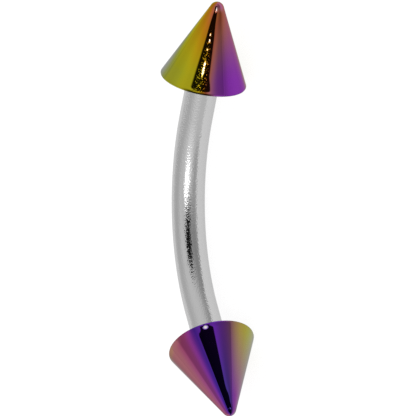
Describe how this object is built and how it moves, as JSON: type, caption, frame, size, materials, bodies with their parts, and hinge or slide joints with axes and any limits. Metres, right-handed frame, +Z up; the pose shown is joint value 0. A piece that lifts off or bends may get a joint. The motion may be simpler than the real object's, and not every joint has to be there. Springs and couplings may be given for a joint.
{
  "type": "curved eyebrow barbell",
  "caption": "Curved round bar with a screw-on cone at each end, worn through an eyebrow piercing and lying as it rests on a table.",
  "frame": {"origin": "on the surface that it lies on, under the middle of its outline seen from above", "axes": "+X from the lower cone to the upper cone, +Y towards the outside of the bend, +Z up from the surface that it lies on"},
  "size_m": [0.015, 0.0034, 0.003],
  "materials": {
    "polished_steel": "polished, with a fine drawn grain",
    "rainbow_coating": "mirror polished, with a thin colour coating that runs from gold to purple"
  },
  "bodies": {
    "bar": {"bar": "polished_steel"},
    "upper_cone": {"upper_cone": "rainbow_coating"},
    "lower_cone": {"lower_cone": "rainbow_coating"}
  },
  "joints": [
    {"name": "upper_cone_unscrew", "type": "slide", "parent": "bar", "child": "upper_cone", "axis": [0.8792, -0.3917, 0.2711], "range_m": [0, 0.003]},
    {"name": "lower_cone_unscrew", "type": "slide", "parent": "bar", "child": "lower_cone", "axis": [-0.8792, -0.3917, 0.2711], "range_m": [0, 0.003]}
  ]
}
